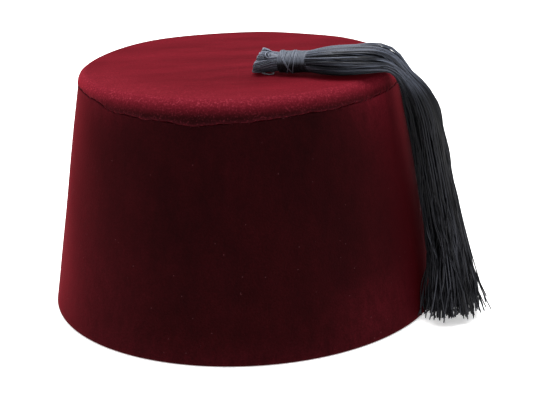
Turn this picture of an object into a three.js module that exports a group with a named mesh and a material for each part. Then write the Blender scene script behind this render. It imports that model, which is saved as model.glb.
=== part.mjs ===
// A fez: a stiff velvet hat shaped like a cut-off cone, with a black tassel lying on its flat top.
// The hat stands on its rim. Its sloping side is one wall, and a round top piece covers the side's
// upper end, turns down over the edge and ends at a hand-sewn seam that wanders up and down.
// The tassel is one hank of strands: a fan of folded loops, a neck held by a wound binding,
// and a long skirt that leaves the top over the edge and hangs beside the hat almost to the floor.
//
// Millimetres. +Z is up, the floor is z = 0, and the hat's axis is the Z axis. +X points to the side
// where the tassel hangs down, and -Y points to the side that is nearest to the tassel's head.

import * as THREE from 'three';

// ---- Driving dimensions ----

const HEIGHT = 113.8;             // floor to the flat top
const BASE_RADIUS = 95;           // outside of the rim, at the floor
const SHOULDER_RADIUS = 75.5;     // outside of the side, where the top edge begins to round over
const EDGE_ROUND = 5;             // outer radius of the rounded top edge
const SIDE_WALL = 2.5;            // stiff side with its velvet
const TOP_WALL = 1.8;             // top piece with its velvet
const TONGUE_WALL = 1.6;          // the side's upper end, which stands inside the top piece
const TOP_PROUD = 0.3;            // how far the top piece stands out from the side at the seam
const RIM_ROUND = 0.8;            // rounding of the rim's two lower edges
const GAP = 0.3;                  // clearance between pieces that touch
const TURNS = 72;                 // steps round the hat

const TONGUE_END = THREE.MathUtils.degToRad(62);   // how far the tongue follows the rounded edge
const JOGGLE_LOW = HEIGHT - 17;   // inside the side, the wall starts to step inwards here
const JOGGLE_HIGH = HEIGHT - 13;  // and has reached the tongue here

// The seam between the top piece and the side, once round the hat: the angle from +X,
// and how far below the flat top the seam lies there.
const SEAM = [
  { angle: -165, drop: 5.0 },
  { angle: -150, drop: 5.6 },
  { angle: -135, drop: 8.6 },
  { angle: -120, drop: 9.3 },
  { angle: -105, drop: 10.7 },
  { angle: -90, drop: 9.7 },
  { angle: -70, drop: 8.4 },
  { angle: -30, drop: 8.2 },
  { angle: 30, drop: 8.0 },
  { angle: 90, drop: 7.6 },
  { angle: 150, drop: 6.6 },
];
const SEAM_NOMINAL = 8;           // drop at which the profiles are first drawn

// The hank of strands, from the folded loops to the cut ends: the middle of each section,
// half its width across the hat's edge and half its thickness away from the hat.
const HANK = [
  { x: 7.6, y: -26.5, z: 120.1, halfWidth: 7.6, halfThick: 5.5 },    // ends of the loops
  { x: 12.0, y: -27.3, z: 119.7, halfWidth: 6.9, halfThick: 5.3 },
  { x: 15.2, y: -28.1, z: 119.2, halfWidth: 5.2, halfThick: 4.4 },
  { x: 17.6, y: -28.9, z: 119.2, halfWidth: 3.9, halfThick: 2.9 },   // neck, into the binding
  { x: 23.8, y: -31.2, z: 119.45, halfWidth: 3.9, halfThick: 2.9 },  // neck, inside the binding
  { x: 30.0, y: -33.5, z: 119.7, halfWidth: 3.9, halfThick: 2.9 },   // neck, out of the binding
  { x: 33.0, y: -34.8, z: 120.0, halfWidth: 6.4, halfThick: 5.2 },
  { x: 38.8, y: -37.0, z: 120.7, halfWidth: 9.4, halfThick: 6.3 },
  { x: 46.8, y: -38.4, z: 121.2, halfWidth: 11.0, halfThick: 6.8 },  // widest on the top
  { x: 54.9, y: -38.8, z: 121.2, halfWidth: 11.0, halfThick: 6.8 },
  { x: 62.2, y: -38.6, z: 120.6, halfWidth: 10.2, halfThick: 6.2 },
  { x: 67.6, y: -38.2, z: 118.7, halfWidth: 9.2, halfThick: 5.2 },   // going over the edge
  { x: 72.4, y: -38.0, z: 114.0, halfWidth: 8.4, halfThick: 4.8 },
  { x: 76.8, y: -37.6, z: 108.3, halfWidth: 8.2, halfThick: 5.7 },
  { x: 81.2, y: -36.6, z: 99.0, halfWidth: 8.6, halfThick: 7.2 },   // hanging beside the side
  { x: 85.5, y: -35.6, z: 80.0, halfWidth: 9.4, halfThick: 7.5 },
  { x: 90.4, y: -36.8, z: 53.0, halfWidth: 10.6, halfThick: 7.9 },
  { x: 93.6, y: -40.4, z: 31.0, halfWidth: 12.4, halfThick: 8.9 },
  { x: 95.2, y: -44.2, z: 16.0, halfWidth: 14.6, halfThick: 9.9 },
  { x: 95.7, y: -46.2, z: 5.2, halfWidth: 15.4, halfThick: 10.4 },
  { x: 95.8, y: -46.5, z: 2.2, halfWidth: 14.2, halfThick: 9.4 },    // cut ends
];
const NECK_START = 3;             // rows of HANK between which the neck is straight
const NECK_END = 5;
const HANK_SIDES = 24;
const HANK_STEPS_PER_ROW = 2;
const ACROSS_ANGLE = 72;          // the hank's width lies along this angle from +X, seen from above

// The wound thread round the neck: one oval ring between these two places on the neck.
const BINDING_WALL = 1.7;
const BINDING_END = 0.35;         // clear neck at each end of the binding
const BINDING_ROUND = 0.6;        // rounding of the binding's outer edges
const BINDING_SIDES = 40;

const VELVET_SIDE = new THREE.MeshStandardMaterial({ color: '#6b1822', roughness: 0.95, metalness: 0 });
const VELVET_TOP = new THREE.MeshStandardMaterial({ color: '#8a2030', roughness: 0.95, metalness: 0 });
const STRANDS = new THREE.MeshStandardMaterial({ color: '#2b2b30', roughness: 0.5, metalness: 0 });
const WOUND_THREAD = new THREE.MeshStandardMaterial({ color: '#3a3a40', roughness: 0.5, metalness: 0 });

// ---- The hat's slope ----

const slope = Math.atan((BASE_RADIUS - SHOULDER_RADIUS) / (HEIGHT - EDGE_ROUND));

// A point of a profile on or inside the sloping side: depth is measured square to the surface.
function sidePoint(z, depth) {
  const outside = BASE_RADIUS - z * Math.tan(slope);
  return new THREE.Vector2(outside - depth / Math.cos(slope), z);
}

// The rounded top edge turns about this point of the profile.
const edgeCentre = sidePoint(HEIGHT - EDGE_ROUND, EDGE_ROUND - TOP_PROUD);

// Points of a profile on an arc about the edge's centre, from one angle above the horizontal
// to another.
function edgeArc(radius, from, to, steps) {
  const points = [];
  for (let i = 0; i <= steps; i++) {
    const angle = THREE.MathUtils.lerp(from, to, i / steps);
    points.push(new THREE.Vector2(
      edgeCentre.x + radius * Math.cos(angle),
      edgeCentre.y + radius * Math.sin(angle),
    ));
  }
  return points;
}

// A quarter arc that rounds a lower edge of the rim, about its own centre.
function rimArc(centre, from, to) {
  const steps = 2;
  const points = [];
  for (let i = 0; i <= steps; i++) {
    const angle = THREE.MathUtils.lerp(from, to, i / steps);
    points.push(new THREE.Vector2(
      centre.x + RIM_ROUND * Math.cos(angle),
      centre.y + RIM_ROUND * Math.sin(angle),
    ));
  }
  return points;
}

// ---- The wandering seam ----

// The drop at an angle, eased from one row of SEAM to the next, and on round from the last
// to the first.
function seamDrop(angleDegrees) {
  const count = SEAM.length;
  for (let i = 0; i < count; i++) {
    const start = SEAM[i];
    const end = SEAM[(i + 1) % count];
    const span = THREE.MathUtils.euclideanModulo(end.angle - start.angle, 360);
    const along = THREE.MathUtils.euclideanModulo(angleDegrees - start.angle, 360);
    if (along <= span) {
      return THREE.MathUtils.lerp(start.drop, end.drop, THREE.MathUtils.smoothstep(along / span, 0, 1));
    }
  }
  return SEAM_NOMINAL;
}

// Turns a profile (x = radius, y = height) once round the Z axis. Points of the profile that lie
// on the seam then slide up or down the slope to where the seam is at their angle.
function turnRound(profile, seamPoints) {
  const geometry = new THREE.LatheGeometry(profile, TURNS);
  geometry.rotateX(Math.PI / 2);
  const position = geometry.getAttribute('position');
  const onSeam = new Set(seamPoints.map((point) => profile.indexOf(point)));
  for (let i = 0; i < position.count; i++) {
    if (onSeam.has(i % profile.length)) {
      const x = position.getX(i);
      const y = position.getY(i);
      const angle = THREE.MathUtils.radToDeg(Math.atan2(y, x));
      const lift = SEAM_NOMINAL - seamDrop(angle);
      const radius = Math.hypot(x, y);
      const slid = (radius - lift * Math.tan(slope)) / radius;
      position.setXYZ(i, x * slid, y * slid, position.getZ(i) + lift);
    }
  }
  return geometry;
}

// ---- Crown ----

// The side: a sloping wall on a flat rim with rounded edges. At the seam its outside steps in,
// and a thinner tongue goes on up inside the top piece and a little way round the edge.
function makeCrownSide() {
  const seamHeight = HEIGHT - SEAM_NOMINAL;
  const tongueOuter = TOP_WALL + GAP - TOP_PROUD;
  const tongueInner = tongueOuter + TONGUE_WALL;
  const tongueOuterRound = EDGE_ROUND - TOP_WALL - GAP;
  const tongueInnerRound = tongueOuterRound - TONGUE_WALL;
  const outerRim = sidePoint(RIM_ROUND, RIM_ROUND);
  const innerRim = sidePoint(RIM_ROUND, SIDE_WALL - RIM_ROUND);
  const seamOutside = sidePoint(seamHeight, 0);
  const seamInside = sidePoint(seamHeight, tongueOuter);
  const profile = [
    ...rimArc(innerRim, Math.PI + slope, 1.5 * Math.PI),
    ...rimArc(outerRim, -0.5 * Math.PI, slope),
    seamOutside,
    seamInside,
    ...edgeArc(tongueOuterRound, slope, TONGUE_END, 3),
    ...edgeArc(tongueInnerRound, TONGUE_END, slope, 2),
    sidePoint(JOGGLE_HIGH, tongueInner),
    sidePoint(JOGGLE_LOW, SIDE_WALL),
  ];
  profile.push(profile[0].clone());
  return turnRound(profile, [seamOutside, seamInside]);
}

// The top piece: a flat round with its edge rounded over and turned down to the seam.
function makeCrownTop() {
  const seamHeight = HEIGHT - SEAM_NOMINAL + GAP;
  const edgeOutside = sidePoint(seamHeight, -TOP_PROUD);
  const edgeInside = sidePoint(seamHeight, TOP_WALL - TOP_PROUD);
  const profile = [
    new THREE.Vector2(0, HEIGHT - TOP_WALL),
    ...edgeArc(EDGE_ROUND - TOP_WALL, Math.PI / 2, slope, 5),
    edgeInside,
    edgeOutside,
    ...edgeArc(EDGE_ROUND, slope, Math.PI / 2, 7),
    new THREE.Vector2(0, HEIGHT),
  ];
  return turnRound(profile, [edgeInside, edgeOutside]);
}

// ---- Tassel ----

const across = new THREE.Vector3(
  Math.cos(THREE.MathUtils.degToRad(ACROSS_ANGLE)),
  Math.sin(THREE.MathUtils.degToRad(ACROSS_ANGLE)),
  0,
);
const hankRoute = new THREE.CatmullRomCurve3(HANK.map((row) => new THREE.Vector3(row.x, row.y, row.z)));
const hankSize = new THREE.CatmullRomCurve3(
  HANK.map((row) => new THREE.Vector3(row.halfWidth, row.halfThick, 0)),
);

// A point of an oval section that stands square to the route.
function sectionPoint(place, halfWidth, halfThick, cosine, sine) {
  const along = hankRoute.getTangent(place);
  const width = across.clone().addScaledVector(along, -across.dot(along)).normalize();
  const thickness = new THREE.Vector3().crossVectors(width, along);
  return hankRoute.getPoint(place)
    .addScaledVector(width, halfWidth * cosine)
    .addScaledVector(thickness, halfThick * sine);
}

// The hank: a closed cylinder whose rings are moved to the sections along the route.
function makeHank() {
  const steps = (HANK.length - 1) * HANK_STEPS_PER_ROW;
  const geometry = new THREE.CylinderGeometry(1, 1, 1, HANK_SIDES, steps);
  const position = geometry.getAttribute('position');
  for (let i = 0; i < position.count; i++) {
    const place = THREE.MathUtils.clamp(position.getY(i) + 0.5, 0, 1);
    const size = hankSize.getPoint(place);
    const point = sectionPoint(place, size.x, size.y, position.getX(i), position.getZ(i));
    position.setXYZ(i, point.x, point.y, point.z);
  }
  return geometry;
}

// The binding: a round ring drawn as a profile of its wall, then spread sideways into an oval
// and laid along the neck's straight middle line.
function makeBinding() {
  const neckStart = HANK[NECK_START];
  const neckEnd = HANK[NECK_END];
  const start = new THREE.Vector3(neckStart.x, neckStart.y, neckStart.z);
  const end = new THREE.Vector3(neckEnd.x, neckEnd.y, neckEnd.z);
  const half = start.distanceTo(end) / 2 - BINDING_END;
  const inner = neckStart.halfThick + GAP;
  const outer = inner + BINDING_WALL;
  const profile = [
    new THREE.Vector2(inner, -half),
    new THREE.Vector2(outer - BINDING_ROUND, -half),
    new THREE.Vector2(outer, BINDING_ROUND - half),
    new THREE.Vector2(outer, half - BINDING_ROUND),
    new THREE.Vector2(outer - BINDING_ROUND, half),
    new THREE.Vector2(inner, half),
  ];
  profile.push(profile[0].clone());
  const geometry = new THREE.LatheGeometry(profile, BINDING_SIDES);
  const position = geometry.getAttribute('position');
  const spread = neckStart.halfWidth - neckStart.halfThick;
  for (let i = 0; i < position.count; i++) {
    const cosine = position.getX(i) / Math.hypot(position.getX(i), position.getZ(i));
    position.setX(i, position.getX(i) + spread * cosine);
  }
  const along = end.clone().sub(start).normalize();
  const width = across.clone().addScaledVector(along, -across.dot(along)).normalize();
  const thickness = new THREE.Vector3().crossVectors(width, along);
  const turn = new THREE.Matrix4().makeBasis(width, along, thickness);
  turn.setPosition(start.add(end).multiplyScalar(0.5));
  geometry.applyMatrix4(turn);
  return geometry;
}

// ---- Assembly ----

const hat = new THREE.Group();

function addPiece(name, geometry, material) {
  const mesh = new THREE.Mesh(geometry, material);
  mesh.name = name;
  hat.add(mesh);
}

addPiece('crown_side', makeCrownSide(), VELVET_SIDE);
addPiece('crown_top', makeCrownTop(), VELVET_TOP);
addPiece('tassel_hank', makeHank(), STRANDS);
addPiece('tassel_binding', makeBinding(), WOUND_THREAD);

export default hat;
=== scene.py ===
# %% [markdown]
# # A fez, piece by piece
# A fez is a stiff cone of board or felt with velvet glued over it, a round velvet top sewn on by hand,
# and a tassel of rayon strands that lies over the edge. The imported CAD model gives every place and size;
# this lesson dresses it with the cloth, the thread and the light that make it look real.

# %% Load the frame
import math
import random

import bpy
import numpy as np
from mathutils import Matrix, Quaternion, Vector


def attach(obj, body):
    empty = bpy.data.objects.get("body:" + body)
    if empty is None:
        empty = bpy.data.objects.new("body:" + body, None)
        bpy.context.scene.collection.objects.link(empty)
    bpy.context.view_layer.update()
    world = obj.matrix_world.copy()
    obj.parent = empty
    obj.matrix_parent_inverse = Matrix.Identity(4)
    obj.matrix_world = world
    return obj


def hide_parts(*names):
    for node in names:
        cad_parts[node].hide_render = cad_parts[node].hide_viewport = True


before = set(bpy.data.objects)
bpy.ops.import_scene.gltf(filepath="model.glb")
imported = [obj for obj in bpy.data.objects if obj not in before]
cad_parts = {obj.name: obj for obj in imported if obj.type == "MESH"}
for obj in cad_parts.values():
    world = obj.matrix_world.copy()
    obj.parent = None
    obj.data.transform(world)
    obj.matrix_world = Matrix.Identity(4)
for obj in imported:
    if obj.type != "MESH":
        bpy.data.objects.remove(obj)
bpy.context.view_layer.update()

MM = 0.001

# %% [markdown]
# ## Camera
# The hat is seen from a little above its top edge, as it would stand on a table in front of the eye.
# A long lens from about 0.6 m away keeps the cone's sides nearly straight, so the camera is placed
# first and everything else is judged through it.

# %% Camera
CAMERA_PLACE = Vector((0.0, -578.191, 239.642)) * MM
CAMERA_AIM = Vector((0.02092405, 0.94595612, -0.32361892))
CAMERA_ROLL = math.radians(-2.214)

camera_data = bpy.data.cameras.new("camera")
camera_data.lens = 82.56
camera_data.sensor_width = 36.0
camera = bpy.data.objects.new("camera", camera_data)
bpy.context.scene.collection.objects.link(camera)
camera.rotation_mode = "QUATERNION"
camera.location = CAMERA_PLACE
camera.rotation_quaternion = CAMERA_AIM.to_track_quat("-Z", "Y") @ Quaternion((0, 0, 1), CAMERA_ROLL)
bpy.context.scene.camera = camera
print("camera looks down", round(math.degrees(math.asin(-CAMERA_AIM.z)), 1), "degrees")

# %% [markdown]
# ## Selecting and building rings
# Edit-mode operators act on everything that is selected, so each step starts by deselecting all.
# A hat is round, so both velvet pieces start as a circle primitive that is extruded ring by ring: each
# new ring is scaled to its radius and lifted to its height, which is how one would pull up a wall by hand.

# %% Helpers for selection and ring building
def clear_selection():
    if bpy.context.object and bpy.context.object.mode != "OBJECT":
        bpy.ops.object.mode_set(mode="OBJECT")
    bpy.ops.object.select_all(action="DESELECT")


def make_active(piece):
    clear_selection()
    piece.select_set(True)
    bpy.context.view_layer.objects.active = piece


def edit_all(piece):
    """Goes into edit mode with the whole of a piece selected."""
    make_active(piece)
    bpy.ops.object.mode_set(mode="EDIT")
    bpy.ops.mesh.select_all(action="SELECT")


def leave_edit():
    bpy.ops.object.mode_set(mode="OBJECT")


def smooth_below(piece, degrees):
    """Smooth shading, but for edges sharper than an angle."""
    make_active(piece)
    bpy.ops.object.shade_smooth_by_angle(angle=math.radians(degrees))


def pull_rings(name, profile, segments):
    """Extrudes a circle through the (radius, height) pairs of a profile, given in mm."""
    clear_selection()
    radius, height = profile[0]
    bpy.ops.mesh.primitive_circle_add(vertices=segments, radius=radius * MM, location=(0, 0, height * MM))
    piece = bpy.context.object
    piece.name = name
    piece.data.name = name
    bpy.ops.object.transform_apply(location=True, rotation=True, scale=True)
    edit_all(piece)
    for new_radius, new_height in profile[1:]:
        bpy.ops.mesh.extrude_region_move()
        ratio = new_radius / radius
        bpy.ops.transform.resize(value=(ratio, ratio, 1.0), center_override=(0, 0, 0))
        bpy.ops.transform.translate(value=(0, 0, (new_height - height) * MM))
        radius, height = new_radius, new_height
    leave_edit()
    return piece


def close_and_face_out(piece):
    """Merges rings that meet and turns every face outward."""
    edit_all(piece)
    bpy.ops.mesh.remove_doubles(threshold=0.02 * MM)
    bpy.ops.mesh.normals_make_consistent(inside=False)
    leave_edit()


def triangles(piece):
    return sum(len(face.vertices) - 2 for face in piece.data.polygons)


print("helpers ready")

# %% [markdown]
# ## The wandering seam
# The top piece is turned down over the side and sewn by hand, so its seam is not a true circle: it wanders
# between 5 and 11 mm below the flat top. The same few heights as in the CAD part steer both pieces here.

# %% Crown sizes and the seam line
HEIGHT = 113.8
BASE_RADIUS = 95.0
SHOULDER_RADIUS = 75.5
EDGE_ROUND = 5.0
TAPER = (BASE_RADIUS - SHOULDER_RADIUS) / (HEIGHT - EDGE_ROUND)
SLOPE = math.atan(TAPER)
SIDE_WALL = 2.5
TOP_WALL = 1.8
PROUD = 0.3
SEAM_DROPS = ((-165, 5.0), (-150, 5.6), (-135, 8.6), (-120, 9.3), (-105, 10.7), (-90, 9.7),
              (-70, 8.4), (-30, 8.2), (30, 8.0), (90, 7.6), (150, 6.6))


def side_radius(height):
    return BASE_RADIUS - TAPER * height


def seam_drop(angle):
    """Millimetres from the flat top down to the seam, eased between the given directions."""
    first, first_low = SEAM_DROPS[0]
    turn = (math.degrees(angle) - first) % 360.0 + first
    rows = SEAM_DROPS + ((first + 360, first_low),)
    for (start, low), (end, high) in zip(rows, rows[1:]):
        if start <= turn <= end:
            part = (turn - start) / (end - start)
            return low + (high - low) * part * part * (3 - 2 * part)
    return first_low


print("seam drop at the front:", round(seam_drop(math.radians(-90)), 2), "mm")

# %% [markdown]
# ## Crown side
# On the hat this is board or stiff felt with velvet glued over it, rolled into a cone and folded under at
# the rim. It could be a cone primitive with a Solidify modifier, but a wall pulled up ring by ring gives
# the soft roll of cloth at the rim and a ledge where the top piece sits over it.

# %% Pull up the crown side
SIDE_SEGMENTS = 480
RIM_ROLL = 1.25
NOMINAL_DROP = 8.0
SEAM_GAP = 0.1
SEAM_HEIGHT = HEIGHT - NOMINAL_DROP - SEAM_GAP
TONGUE_FACE, TONGUE_BACK, TONGUE_DROP = 2.2, 3.7, 5.5  # the part under the top piece, in from the velvet
LIFT_FROM = 94.0  # above this height the side follows the wandering seam


def side_profile():
    rings = []
    centre = side_radius(RIM_ROLL) - RIM_ROLL / math.cos(SLOPE)
    for step in range(7):
        turn = math.radians(-90 + (90 + math.degrees(SLOPE)) * step / 6)
        rings.append((centre + RIM_ROLL * math.cos(turn), RIM_ROLL + RIM_ROLL * math.sin(turn)))
    seam = SEAM_HEIGHT
    heights = [4, 8, 14, 22, 32, 42, 52, 62, 72, 82, 90, 95, 98, 100.5, 102.5, 104, seam - 0.5, seam - 0.2]
    rings += [(side_radius(height), height) for height in heights]
    rings += [(side_radius(seam) - 0.25, seam), (side_radius(seam) - TONGUE_FACE, seam)]
    inner_top = HEIGHT - TONGUE_DROP
    rings += [(side_radius(inner_top) - inset, inner_top) for inset in (TONGUE_FACE, TONGUE_BACK)]
    rings += [(side_radius(height) - SIDE_WALL, height) for height in (97, 90, 60, 30, 6)]
    rings += [(side_radius(2.2) - SIDE_WALL, 2.2), (side_radius(0.8) - SIDE_WALL + 0.4, 0.6)]
    rings += [rings[0]]
    return rings


crown_side = pull_rings("crown_side_velvet", side_profile(), SIDE_SEGMENTS)
close_and_face_out(crown_side)
for vertex in crown_side.data.vertices:
    x, y, z = vertex.co / MM
    rise = min(max((z - LIFT_FROM) / (SEAM_HEIGHT - LIFT_FROM), 0.0), 1.0)
    if z < HEIGHT - 7 and math.hypot(x, y) > side_radius(z) - TONGUE_FACE - 0.2 and rise > 0:
        angle = math.atan2(y, x)
        lift = (NOMINAL_DROP - seam_drop(angle)) * rise * rise
        shrink = 1.0 - lift * TAPER / math.hypot(x, y)
        vertex.co = Vector((x * shrink, y * shrink, z + lift)) * MM
print("crown side:", triangles(crown_side), "triangles")

# %% [markdown]
# ## Slack in the cloth
# Cloth glued over board is never a perfect cone. Waves of a few tenths of a millimetre are enough for the
# light to wander over it, and they are too small to change the hat's size.

# %% Give the side its slack
SIDE_SLACK = ((0.22, 3, 0.031, 0.8), (0.12, 7, -0.05, 0.0), (0.10, 13, 0.09, 2.0))
SLACK_FADE = 12.0  # mm from the rim, and from the seam, in which the slack fades out


def waves(rows, angle, height=0.0):
    """Adds up waves round the hat: size in mm, count round it, twist for each mm of height, start."""
    return sum(size * math.sin(count * angle + twist * height + start) for size, count, twist, start in rows)


for vertex in crown_side.data.vertices:
    x, y, z = vertex.co / MM
    angle = math.atan2(y, x)
    wave = waves(SIDE_SLACK, angle, z)
    edge = min(z / SLACK_FADE, 1.0) * min(max((HEIGHT - SLACK_FADE - z) / SLACK_FADE, 0.0), 1.0)
    vertex.co.x += math.cos(angle) * wave * edge * MM
    vertex.co.y += math.sin(angle) * wave * edge * MM
print("slack: up to", round(sum(row[0] for row in SIDE_SLACK), 2), "mm")

# %% [markdown]
# ## Redder marks on the side, and a painted shadow beside the tassel
# The velvet is made redder along the rim, on the lower left, low at the front right, and below the seam at the
# right and at the left. How far is stored as an attribute, from 0 to 1, and the velvet turns it into a redder
# tone. A second attribute keeps a painted shadow of the tassel on the strip beside it: there the velvet's
# face leans to the front, so that its sheen fades as in the tassel's shade.

# %% Store the redder marks and the tassel's painted shadow on the side
def bump_at(value, middle, width):
    return math.exp(-((value - middle) / width) ** 2)


def side_redder_marks(x, y, z):
    degrees = math.degrees(math.atan2(y, x))
    below_seam = max(HEIGHT - seam_drop(math.radians(degrees)) - z, 0.0)
    rim = 0.18 * math.exp(-z / 7.0)
    left_low_mark = 0.14 * bump_at(degrees, -150, 26) * bump_at(z, 26, 24)
    front_low_mark = 0.20 * bump_at(degrees, -52, 14) * bump_at(z, 14, 13)
    eased = 0.85 * bump_at(degrees, -33, 15) * math.exp(-below_seam / 9.0)
    eased += 0.35 * bump_at(degrees, -150, 20) * math.exp(-below_seam / 5.0)
    return min(rim + left_low_mark + front_low_mark + eased, 1.0)


def tassel_shade(x, y, z):
    """How much of the tassel's painted shadow falls on the side, beside the place where it hangs."""
    degrees = math.degrees(math.atan2(y, x))
    return bump_at(degrees, -16.5 + 0.11 * z, 8.5) * min(max((z - 18.0) / 30.0, 0.0), 1.0)


def store(piece, name, values):
    layer = piece.data.attributes.new(name, "FLOAT", "POINT")
    layer.data.foreach_set("value", values)


store(crown_side, "brushed", [side_redder_marks(*(vertex.co / MM)) for vertex in crown_side.data.vertices])
store(crown_side, "tassel_shade", [tassel_shade(*(vertex.co / MM)) for vertex in crown_side.data.vertices])
smooth_below(crown_side, 50)
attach(crown_side, "root")
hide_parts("crown_side")
print("brushed and pressed marks stored on", len(crown_side.data.vertices), "vertices")

# %% [markdown]
# ## Crown top
# A disc of velvet-covered felt, rolled over the edge and turned down to the seam. The cut edge is folded
# under, which leaves a soft lip standing a little proud of the side. It is pulled ring by ring as well,
# from the middle of the underside, out under the lip, up round the edge and back to the middle.

# %% Pull the crown top
TOP_SEGMENTS = 924
FLAT_RADIUS = 72.0  # where the flat part of the top ends, in mm
ARC_TURN = math.pi / 2 - SLOPE
ARC_LENGTH = EDGE_ROUND * ARC_TURN
ARC_CENTRE = side_radius(HEIGHT - EDGE_ROUND + EDGE_ROUND * math.sin(SLOPE)) - EDGE_ROUND * math.cos(SLOPE)
ARC_CENTRE += PROUD / math.cos(SLOPE)


def edge_place(down, depth):
    """Radius and height of a point a way down the rolled edge and a depth under its face, in mm."""
    turn = math.pi / 2 - min(down, ARC_LENGTH) / EDGE_ROUND
    beyond = max(down - ARC_LENGTH, 0.0)
    radius = ARC_CENTRE + (EDGE_ROUND - depth) * math.cos(turn) + beyond * math.sin(SLOPE)
    height = HEIGHT - EDGE_ROUND + (EDGE_ROUND - depth) * math.sin(turn) - beyond * math.cos(SLOPE)
    return radius, height


def drop_to_down(drop):
    contact = EDGE_ROUND - EDGE_ROUND * math.sin(SLOPE)
    return ARC_LENGTH + (drop - contact) / math.cos(SLOPE)


NOMINAL_DOWN = drop_to_down(NOMINAL_DROP)
LIP_ROLL = TOP_WALL / 2
top_path = [(0.0, radius - FLAT_RADIUS, TOP_WALL) for radius in (2.0, 20.0, 45.0, 62.0)]
top_path += [(NOMINAL_DOWN * part, 0.0, TOP_WALL) for part in (0.0, 0.2, 0.4, 0.6, 0.8)]
top_path += [(NOMINAL_DOWN - LIP_ROLL * (1 - math.sin(turn)), 0.0, LIP_ROLL * (1 - math.cos(turn)))
             for turn in np.linspace(math.pi, 0.0, 9)]
top_path += [(NOMINAL_DOWN * part, 0.0, 0.0) for part in np.linspace(0.88, 0.0, 15)]
top_path += [(0.0, radius - FLAT_RADIUS, 0.0) for radius in (69, 66, 62, 56, 50, 43, 36, 28, 20, 12, 6, 2.0)]


def top_ring(down, inward, depth):
    """A ring of the path: down the rolled edge, or inward of the flat part's end, at a depth."""
    radius, height = edge_place(down, depth)
    return (radius + inward + (FLAT_RADIUS - ARC_CENTRE if inward else 0.0), height)


crown_top = pull_rings("crown_top_velvet", [top_ring(*row) for row in top_path], TOP_SEGMENTS)
print("crown top:", triangles(crown_top), "triangles before the poles are closed")

# %% [markdown]
# ## Sewing the top down
# Each stitch pulls the lip in by a few tenths of a millimetre and the cloth puffs out between two
# stitches. The puckers fade out towards the rolled edge. Where more cloth had to be eased in, at the
# front left and at the right, they are deeper. The vertices slide along the rolled edge to the seam line.

# %% The stitches' spacing and pull
STITCH_COUNT = 132
STITCH_SWAY = 0.9  # how far hand stitches drift from an even spacing, in radians of their wave
SEAM_WOBBLE = ((0.25, 23, 0, 0.0), (0.15, 61, 0, 0.0))
BAND_SLACK = ((0.10, 17, 0, 1.0), (0.08, 29, 0, 0.0), (0.06, 41, 0, 2.0))


def pucker_depth(angle):
    degrees = math.degrees(angle)
    eased_in = bump_at(degrees, -146, 9.0) + bump_at(degrees, -38, 13.0)
    return 0.13 + 0.20 * eased_in + 0.05 * math.sin(5 * angle)


def seam_down(angle):
    """How far down the rolled edge the sewn seam runs, in mm."""
    return drop_to_down(seam_drop(angle) + waves(SEAM_WOBBLE, angle))


print("stitch spacing:", round(2 * math.pi * side_radius(SEAM_HEIGHT) / STITCH_COUNT, 2), "mm")

# %% Slide the lip to the seam and pucker it
# The ridge attribute marks the folded lip above the seam, which the velvet paints with a highlight.
ridge = []
for index, vertex in enumerate(crown_top.data.vertices):
    down, inward, depth = top_path[index // TOP_SEGMENTS]
    x, y, z = vertex.co / MM
    angle = math.atan2(y, x)
    ridge.append(math.exp(-((NOMINAL_DOWN - 0.3 - down) / 0.7) ** 2) if depth < LIP_ROLL else 0.0)
    if down > 0:
        near = (down / NOMINAL_DOWN) ** 2
        stitch = 0.5 + 0.5 * math.cos(STITCH_COUNT * angle + STITCH_SWAY * math.sin(4 * angle))
        pull = pucker_depth(angle) * (stitch ** 2 - 0.35) * near ** 3 - waves(BAND_SLACK, angle) * near
        slid = down * seam_down(angle) / NOMINAL_DOWN
        radius, height = edge_place(slid, depth + (pull if depth < TOP_WALL else 0.0))
        vertex.co = Vector((radius * math.cos(angle), radius * math.sin(angle), height)) * MM
    lying = min(math.hypot(x, y) / FLAT_RADIUS, 1.0)
    swell = 0.30 * math.sin(0.045 * x + 0.6) * math.cos(0.05 * y) + 0.22 * math.sin(0.09 * x - 0.07 * y)
    rise = 0.30 * bump_at(math.degrees(angle), 74, 14) + 0.65 * bump_at(math.degrees(angle), 128, 24)
    rise *= lying ** 6
    if down < 5:
        vertex.co.z += (swell * 0.6 + rise) * MM * (1.0 if y > -15 or x < 0 else 0.5)
store(crown_top, "ridge", ridge)
print("lip slid to the seam over", len(top_path), "rings")

# %% [markdown]
# ## Brush marks and a painted highlight on the top
# The front of the flat top, towards its edge, is painted lighter as a highlight. On the left the nap was combed
# in curved strokes, so the mark there comes and goes along arcs round a point beside the hat.

# %% Store the top's painted highlight at the front and its brush marks on the left
def top_highlight_and_brushing(x, y, z):
    if z <= HEIGHT - 3:
        return 0.0
    degrees = math.degrees(math.atan2(y, x))
    centre = math.hypot(x, y)
    swirl = 0.5 + 0.5 * math.sin(0.55 * math.hypot(x + 95, y + 20) + 0.8 * math.sin(0.1 * x))
    front_highlight = 0.45 * min(max((centre - 50.0) / 18.0, 0.0), 1.0) * bump_at(degrees, -100, 60)
    combed = 0.34 * min(max((centre - 44.0) / 16.0, 0.0), 1.0) * bump_at(degrees, -156, 24)
    return min(front_highlight + combed * (0.55 + 0.45 * swirl), 1.0)


store(crown_top, "brushed", [top_highlight_and_brushing(*(vertex.co / MM)) for vertex in crown_top.data.vertices])
print("brush marks stored on", len(crown_top.data.vertices), "vertices")

# %% Close the poles of the crown top
def close_pole(piece, height_low, height_high):
    """Merges the small ring round the middle that lies between two heights."""
    make_active(piece)
    bpy.ops.object.mode_set(mode="EDIT")
    bpy.ops.mesh.select_all(action="DESELECT")
    leave_edit()
    for vertex in piece.data.vertices:
        near = math.hypot(vertex.co.x, vertex.co.y) < 3 * MM
        vertex.select = near and height_low * MM < vertex.co.z < height_high * MM
    bpy.ops.object.mode_set(mode="EDIT")
    bpy.ops.mesh.merge(type="CENTER")
    leave_edit()


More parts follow.
